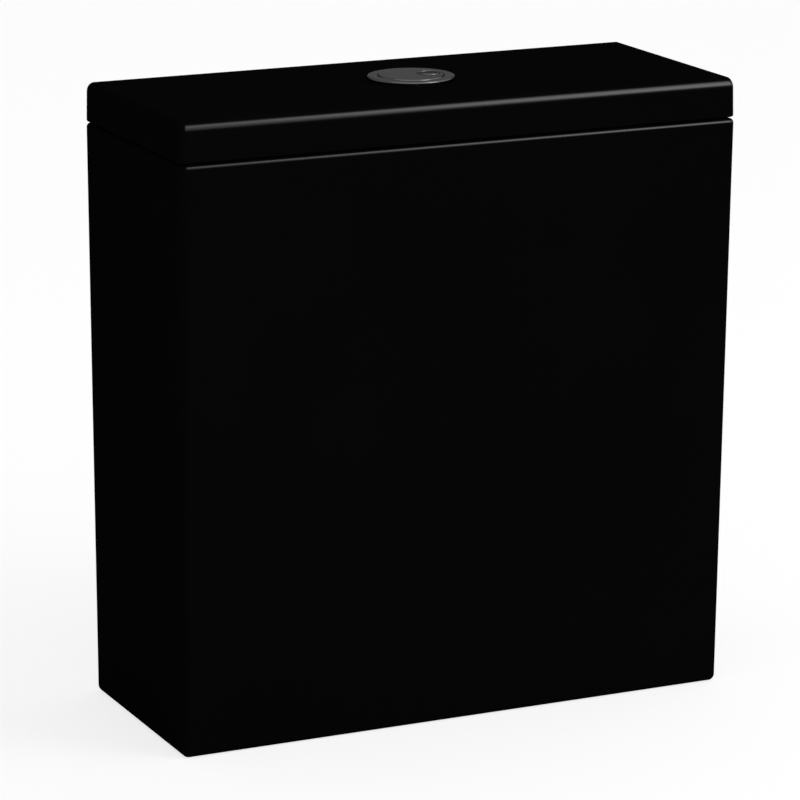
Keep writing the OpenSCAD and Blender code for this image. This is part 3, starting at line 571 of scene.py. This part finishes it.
lug_thick = (lug_depth + lug_bite) / 2
lug_y = lid_high.y - lid_rim + lug_bite - lug_thick
lug_end = lid_high.x - lid_rim + lug_bite - lug_thick
for side in (-1, 1):
    for x in (-lug_x, lug_x):
        combine(lid, lug(x, side * lug_y, lug_half, lug_thick), "UNION")
    combine(lid, lug(side * lug_end, 0.0, lug_thick, lug_half), "UNION")
drill(lid, 0.0, 0.0, lid_hole_r, lid_pocket_top - hole_margin, lid_high.z + hole_margin)
# painted highlight along the lid's top edge: coat on its lower half only, none on the left end
mark_points(
    lid,
    "painted_edge_sheen",
    lambda point: painted_sheen_weight(point, lid_high.z, lid_top_r, lid_low.x + lid_draft, lid_end_r),
)
mark_points(lid, "bare_clay", lambda point: 0.0)
smooth(lid)
lid.data.materials.append(black_glaze)
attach(lid, "lid")
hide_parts("lid")


# Button ring
# A flat ring of satin dark-chromed metal on the lid, turned from one piece with the barrel that goes
# through the lid. Its edges are broken by hand, so they catch the light.
ring_low, ring_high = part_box("button_bezel")
ring_bore = 0.0219
ring_barrel_r = 0.0249
ring_edge = 0.0009
ring_bore_edge = 0.0005


def lathe(name, profile, x=0.0, y=0.0, ring=False, sides=160):
    """Turned piece from a profile of radius and height pairs."""
    return loft(name, [round_loop(x, y, z, r, sides) for r, z in profile], ring)


def arc(r, z, radius, start, end, steps=6):
    """Round stretch of a profile, about a centre at a radius and height, between two angles in degrees."""
    angles = [math.radians(start + (end - start) * i / steps) for i in range(steps + 1)]
    return [(r + radius * math.cos(a), z + radius * math.sin(a)) for a in angles]


ring_profile = [(ring_bore, ring_low.z)]
ring_profile += arc(ring_bore + ring_bore_edge, ring_high.z - ring_bore_edge, ring_bore_edge, 180, 90)
ring_profile += arc(ring_high.x - ring_edge, ring_high.z - ring_edge, ring_edge, 90, 0)
ring_profile += [(ring_high.x, lid_high.z), (ring_barrel_r, lid_high.z), (ring_barrel_r, ring_low.z)]
button_ring = lathe("button_ring", ring_profile, ring=True)
dark_chrome = finish(
    "satin dark chrome",
    dark=(0.105, 0.105, 0.106),
    light=(0.125, 0.125, 0.125),
    gloss=0.15,
    gloss_change=0.06,
    cloud_scale=60.0,
    grain_scale=2500.0,
    grain_depth=0.000003,
    Metallic=1.0,
    Specular_Tint=(0.34, 0.34, 0.34, 1.0),
)
smooth(button_ring)
button_ring.data.materials.append(dark_chrome)
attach(button_ring, "lid")
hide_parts("button_bezel")


# Full-flush button
# The large round button fills the ring's bore with a thin gap. It is a chromed cap with a soft round
# edge, and its right side has a round hole for the small button.
full_low, full_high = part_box("full_flush_button")
half_low, half_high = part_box("half_flush_button")
full_r = full_high.x
full_edge = 0.0012
full_hole_r = 0.0076
full_hole_edge = 0.0005
half_x = (half_low.x + half_high.x) / 2
button_sides = 160

loops = [round_loop(0.0, 0.0, full_low.z, full_r, button_sides)]
for r, z in arc(full_r - full_edge, full_high.z - full_edge, full_edge, 0, 90, 8):
    loops.append(round_loop(0.0, 0.0, z, r, button_sides))
for r, z in arc(full_hole_r + full_hole_edge, full_high.z - full_hole_edge, full_hole_edge, 90, 180, 4):
    loops.append(round_loop(half_x, 0.0, z, r, button_sides))
loops.append(round_loop(half_x, 0.0, full_low.z, full_hole_r, button_sides))
full_button = loft("full_button_cap", loops, ring=True)
smooth(full_button)
full_button.data.materials.append(dark_chrome)
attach(full_button, "full_button")
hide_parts("full_flush_button")


# Half-flush button
# The small round button for the short flush sits in the large one. A narrow raised rim runs round its
# hollow top so that a finger finds it, and it has the same satin chrome.
half_r = (half_high.x - half_low.x) / 2
half_edge = 0.0007
half_rim = 0.0004
half_inner_edge = 0.0005
half_dish_r = half_r - half_edge - half_inner_edge
half_dish = 0.0004
dish_steps = 8

half_top = half_high.z + half_rim
half_profile = [(half_r, half_low.z)]
half_profile += arc(half_r - half_edge, half_top - half_edge, half_edge, 0, 90, 8)
for s, c in fillet()[1:]:
    r = half_r - half_edge - half_inner_edge * s
    half_profile.append((r, half_top - half_inner_edge * (1 - c)))
for i in range(1, dish_steps):
    r = half_dish_r * (1 - i / dish_steps)
    depth = half_inner_edge + half_dish * (1 - (r / half_dish_r) ** 2)
    half_profile.append((r, half_top - depth))
half_button = lathe("half_button_cap", half_profile, x=half_x, sides=96)
smooth(half_button)
half_button.data.materials.append(dark_chrome)
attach(half_button, "half_button")
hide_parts("half_flush_button")


# Button fixings
# Under the lid a rubber washer and a ribbed plastic nut clamp the ring's barrel. A plastic plug in the
# barrel guides both push rods, and four rubber pads keep the lid from knocking on the tank's rim.
rubber = finish(
    "black rubber",
    dark=(0.010, 0.010, 0.010),
    light=(0.018, 0.018, 0.017),
    gloss=0.72,
    gloss_change=0.15,
    cloud_scale=40.0,
    grain_scale=1500.0,
    grain_depth=0.00003,
)
moulded_skin = dict(gloss_change=0.16, cloud_scale=30.0, grain_scale=1400.0, grain_depth=0.00001)
white_plastic = finish(
    "white moulded plastic",
    dark=(0.66, 0.66, 0.63),
    light=(0.74, 0.74, 0.72),
    gloss=0.42,
    **moulded_skin,
)

# shading that is smooth over round faces and crisp at edges, for a carried-over solid
hard_bend = math.radians(50)
crisp = bpy.data.node_groups.new("crisp shading", "GeometryNodeTree")
crisp.interface.new_socket("Geometry", in_out="INPUT", socket_type="NodeSocketGeometry")
crisp.interface.new_socket("Geometry", in_out="OUTPUT", socket_type="NodeSocketGeometry")
crisp_in = crisp.nodes.new("NodeGroupInput")
crisp_out = crisp.nodes.new("NodeGroupOutput")
bare = crisp.nodes.new("GeometryNodeRemoveAttribute")
bare.inputs["Name"].default_value = "custom_normal"
round_faces = crisp.nodes.new("GeometryNodeSetShadeSmooth")
soft_edges = crisp.nodes.new("GeometryNodeSetShadeSmooth")
soft_edges.domain = "EDGE"
hard_edges = crisp.nodes.new("GeometryNodeSetShadeSmooth")
hard_edges.domain = "EDGE"
hard_edges.inputs["Shade Smooth"].default_value = False
bend = crisp.nodes.new("GeometryNodeInputMeshEdgeAngle")
is_hard = crisp.nodes.new("FunctionNodeCompare")
is_hard.operation = "GREATER_THAN"
is_hard.inputs["B"].default_value = hard_bend
for source, target in (
    (crisp_in.outputs["Geometry"], bare.inputs["Geometry"]),
    (bare.outputs["Geometry"], round_faces.inputs["Geometry"]),
    (round_faces.outputs["Geometry"], soft_edges.inputs["Geometry"]),
    (soft_edges.outputs["Geometry"], hard_edges.inputs["Geometry"]),
    (bend.outputs["Unsigned Angle"], is_hard.inputs["A"]),
    (is_hard.outputs["Result"], hard_edges.inputs["Selection"]),
    (hard_edges.outputs["Geometry"], crisp_out.inputs["Geometry"]),
):
    crisp.links.new(source, target)

# a solid's faces are joined again where they lie closer than the gap or bend less than the angle
seam_gap = 0.000005
flat_bend = math.radians(1)


def dress(material, *names, edge=0.0):
    """Gives carried-over solids their finish and small round edges, or crisp ones on fine ribs."""
    for name in names:
        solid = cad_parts[name]
        solid.data.materials.clear()
        solid.data.materials.append(material)
        seam = solid.modifiers.new("seams", "WELD")
        seam.merge_threshold = seam_gap
        if edge:
            flat = solid.modifiers.new("whole faces", "DECIMATE")
            flat.decimate_type = "DISSOLVE"
            flat.angle_limit = flat_bend
            rounding = solid.modifiers.new("round edges", "BEVEL")
            rounding.width = edge
            rounding.segments = 2
            rounding.limit_method = "ANGLE"
            rounding.angle_limit = hard_bend
        shading = solid.modifiers.new("crisp shading", "NODES")
        shading.node_group = crisp
        weighting = solid.modifiers.new("even shading", "WEIGHTED_NORMAL")
        weighting.keep_sharp = True


dress(rubber, "lid_buffers", "bezel_washer", edge=0.0003)
dress(white_plastic, "button_guide", edge=0.0005)
dress(white_plastic, "bezel_nut")


# Button springs
# One small coil of bright spring steel round each push rod, between the guide and the button's boss, which
# lifts the button again. It is shaped at its resting length and rides with the lid, so it does not shorten
# with its button.
spring_wire_r = 0.00045
spring_turns = 6
spring_flat_turns = 0.75
spring_wire_sides = 12
steel = finish(
    "bright steel",
    dark=(0.50, 0.50, 0.51),
    light=(0.62, 0.62, 0.63),
    gloss=0.26,
    gloss_change=0.14,
    cloud_scale=80.0,
    grain_scale=3000.0,
    grain_depth=0.000003,
    Metallic=1.0,
)


def helix(name, x, y, radius, turns, height, section, turn_steps=28):
    """Sweeps a section of outward and upward steps along a helix, whose height follows the share run."""
    steps = round(turns * turn_steps)
    loops = []
    for i in range(steps + 1):
        a = 2 * math.pi * i / turn_steps
        out = Vector((math.cos(a), math.sin(a), 0.0))
        centre = Vector((x, y, height(i / steps))) + out * radius
        loops.append([centre + out * o + Vector((0.0, 0.0, u)) for o, u in section])
    return loft(name, loops)


spring_wire = [(x, y) for x, y, z in round_loop(0.0, 0.0, 0.0, spring_wire_r, spring_wire_sides)]
for button, press in (("full", "full_press"), ("half", "half_press")):
    node = f"{button}_button_spring"
    low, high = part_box(node)
    middle = (low + high) / 2
    coil_r = (high.x - low.x) / 2 - spring_wire_r
    coil_rise = high.z - low.z - 2 * spring_wire_r

    def coil_height(share):
        """Height of the wire, which lies flat in the end turns."""
        climb = (share * spring_turns - spring_flat_turns / 2) / (spring_turns - spring_flat_turns)
        return low.z + spring_wire_r + coil_rise * min(max(climb, 0.0), 1.0)

    spring = helix(f"{button}_spring_coil", middle.x, 0.0, coil_r, spring_turns, coil_height, spring_wire)
    smooth(spring, angle=80)
    spring.data.materials.append(steel)
    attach(spring, "lid")
    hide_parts(node)
    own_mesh(spring)


# Push rods
# A white threaded rod is screwed into each button, with a coloured foot on its lower end that is turned
# up or down to set the length: blue for the full flush and green for the half flush.
blue_plastic = finish(
    "blue moulded plastic",
    dark=(0.010, 0.055, 0.20),
    light=(0.014, 0.075, 0.26),
    gloss=0.40,
    **moulded_skin,
)
green_plastic = finish(
    "green moulded plastic",
    dark=(0.012, 0.16, 0.075),
    light=(0.018, 0.21, 0.10),
    gloss=0.40,
    **moulded_skin,
)
dress(white_plastic, "full_push_rod", "half_push_rod", edge=0.0003)
dress(blue_plastic, "full_rod_tip", edge=0.0003)
dress(green_plastic, "half_rod_tip", edge=0.0003)
rod_r = 0.0025
rod_stop_drop = 0.0033
rod_stop_low = ring_low.z - rod_stop_drop
rod_pitch = 0.0016


def thread(name, x, y, core_r, low, high, pitch, material):
    """Screw thread: a pointed ridge that climbs round a plain core."""
    crest = pitch / 4
    root = -crest / 2
    flank = crest * 1.5
    section = [(root, -flank), (crest, 0.0), (root, flank)]
    rise = high - low - pitch
    piece = helix(name, x, y, core_r, rise / pitch, lambda share: low + pitch / 2 + rise * share, section)
    smooth(piece)
    piece.data.materials.append(material)
    return piece


for button in ("full", "half"):
    low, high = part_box(f"{button}_rod_tip")
    x = (low.x + high.x) / 2
    rod_thread = thread(
        f"{button}_rod_thread", x, 0.0, rod_r, high.z, rod_stop_low, rod_pitch, white_plastic
    )
    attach(rod_thread, f"{button}_button")


# Levers
# Two plastic rockers turn on one steel pin across a white bridge. Each is pressed by its push rod on one
# side and lifts the flush valve with its round tip on the other. Red pegs set the bridge's height.
red_plastic = finish(
    "red moulded plastic",
    dark=(0.30, 0.018, 0.014),
    light=(0.38, 0.024, 0.018),
    gloss=0.40,
    **moulded_skin,
)
dress(blue_plastic, "full_lever", edge=0.0005)
dress(green_plastic, "half_lever", edge=0.0005)
dress(steel, "lever_pin", "lever_pin_clip", edge=0.0003)
dress(white_plastic, "lever_spacers", "lever_bridge", edge=0.0005)
dress(red_plastic, "bridge_lock_pins", edge=0.0003)


# Flush valve body
# A white moulded base is clamped in the tank's floor by a ribbed nut from below, with a rubber seal
# inside and a thick sponge gasket underneath. A basket with four windows and two rails locks onto it.
dress(white_plastic, "valve_basket", "valve_base", edge=0.0006)
dress(white_plastic, "valve_back_nut")
dress(rubber, "valve_base_seal", edge=0.0005)
sponge = finish(
    "sponge rubber",
    dark=(0.008, 0.008, 0.008),
    light=(0.020, 0.020, 0.020),
    gloss=0.85,
    gloss_change=0.1,
    cloud_scale=60.0,
    grain_scale=700.0,
    grain_depth=0.0003,
)
dress(sponge, "coupling_gasket", edge=0.0012)


# Flush valve plunger
# A white overflow tube slides in the basket and carries the sealing disc at its foot, a blue float, and
# the hooks that the levers lift. The soft red seal closes on the base's lip.
silicone = finish(
    "red silicone",
    dark=(0.26, 0.020, 0.014),
    light=(0.33, 0.030, 0.020),
    gloss=0.55,
    gloss_change=0.12,
    cloud_scale=40.0,
    grain_scale=1500.0,
    grain_depth=0.00001,
)
dress(white_plastic, "overflow_tube", "plunger_disc", edge=0.0004)
dress(silicone, "plunger_seal", edge=0.0005)
dress(blue_plastic, "flush_float", edge=0.0009)
dress(blue_plastic, "full_lift_hook", edge=0.0005)
dress(green_plastic, "half_lift_hook", edge=0.0005)


# Coupling bolts
# Two brass bolts hang through the tank's floor and hold it on the pan. A rubber cone and a steel washer
# seal each under its head, and a washer and a brass nut lock it from below.
brass = finish(
    "turned brass",
    dark=(0.52, 0.36, 0.13),
    light=(0.62, 0.45, 0.18),
    gloss=0.30,
    gloss_change=0.14,
    cloud_scale=70.0,
    grain_scale=2600.0,
    grain_depth=0.000004,
    Metallic=1.0,
)
dress(brass, "coupling_bolts", "bolt_lock_nuts", edge=0.0004)
dress(rubber, "bolt_cone_washers", edge=0.0006)
dress(steel, "bolt_head_washers", "bolt_under_washers", edge=0.0003)
bolt_r = 0.004
bolt_pitch = 0.00125
bolt_neck_low = 0.0235
bolt_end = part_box("coupling_bolts")[0].z
for side, x in (("left", -bolt_hole_x), ("right", bolt_hole_x)):
    bolt_thread = thread(f"{side}_bolt_thread", x, 0.0, bolt_r, bolt_end, bolt_neck_low, bolt_pitch, brass)
    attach(bolt_thread, "tank")


# Water inlet
# A brass shank is clamped in the tank's floor by a plastic nut, with its threaded tail below for the
# supply hose and a fine plastic filter in its bore. A white riser pipe stands in its socket.
dress(brass, "inlet_shank", edge=0.0004)
dress(rubber, "inlet_seal", edge=0.0004)
dress(white_plastic, "inlet_washer", "inlet_back_nut", "inlet_filter", "riser_pipe", edge=0.0005)
dress(blue_plastic, "riser_collar")
tail_r = 0.0083
tail_pitch = 0.0018
tail_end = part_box("inlet_shank")[0].z
tail_top = 0.0205
tail_thread = thread(
    "inlet_tail_thread", inlet_place.x, inlet_place.y, tail_r, tail_end, tail_top, tail_pitch, brass
)
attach(tail_thread, "tank")


# Fill valve
# The head on top of the riser holds a rubber diaphragm under a blue screw cap. A float that slides on the
# riser works the cap's lever through a rod, and a tube leads the water down quietly.
dress(white_plastic, "fill_head", "discharge_tube", edge=0.0006)
dress(white_plastic, "fill_float", edge=0.0010)
dress(white_plastic, "float_rod", edge=0.0003)
dress(rubber, "fill_diaphragm", edge=0.0003)
dress(blue_plastic, "fill_cap", "level_nut", "fill_lever", edge=0.0005)
dress(steel, "fill_lever_pin", edge=0.0002)
level_rod_r = 0.002
level_pitch = 0.0014
level_thread_top = 0.322
level_low, level_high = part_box("level_nut")
level_x = (level_low.x + level_high.x) / 2
level_thread = thread(
    "level_rod_thread", level_x, inlet_place.y, level_rod_r, level_high.z, level_thread_top, level_pitch,
    white_plastic,
)
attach(level_thread, "float")
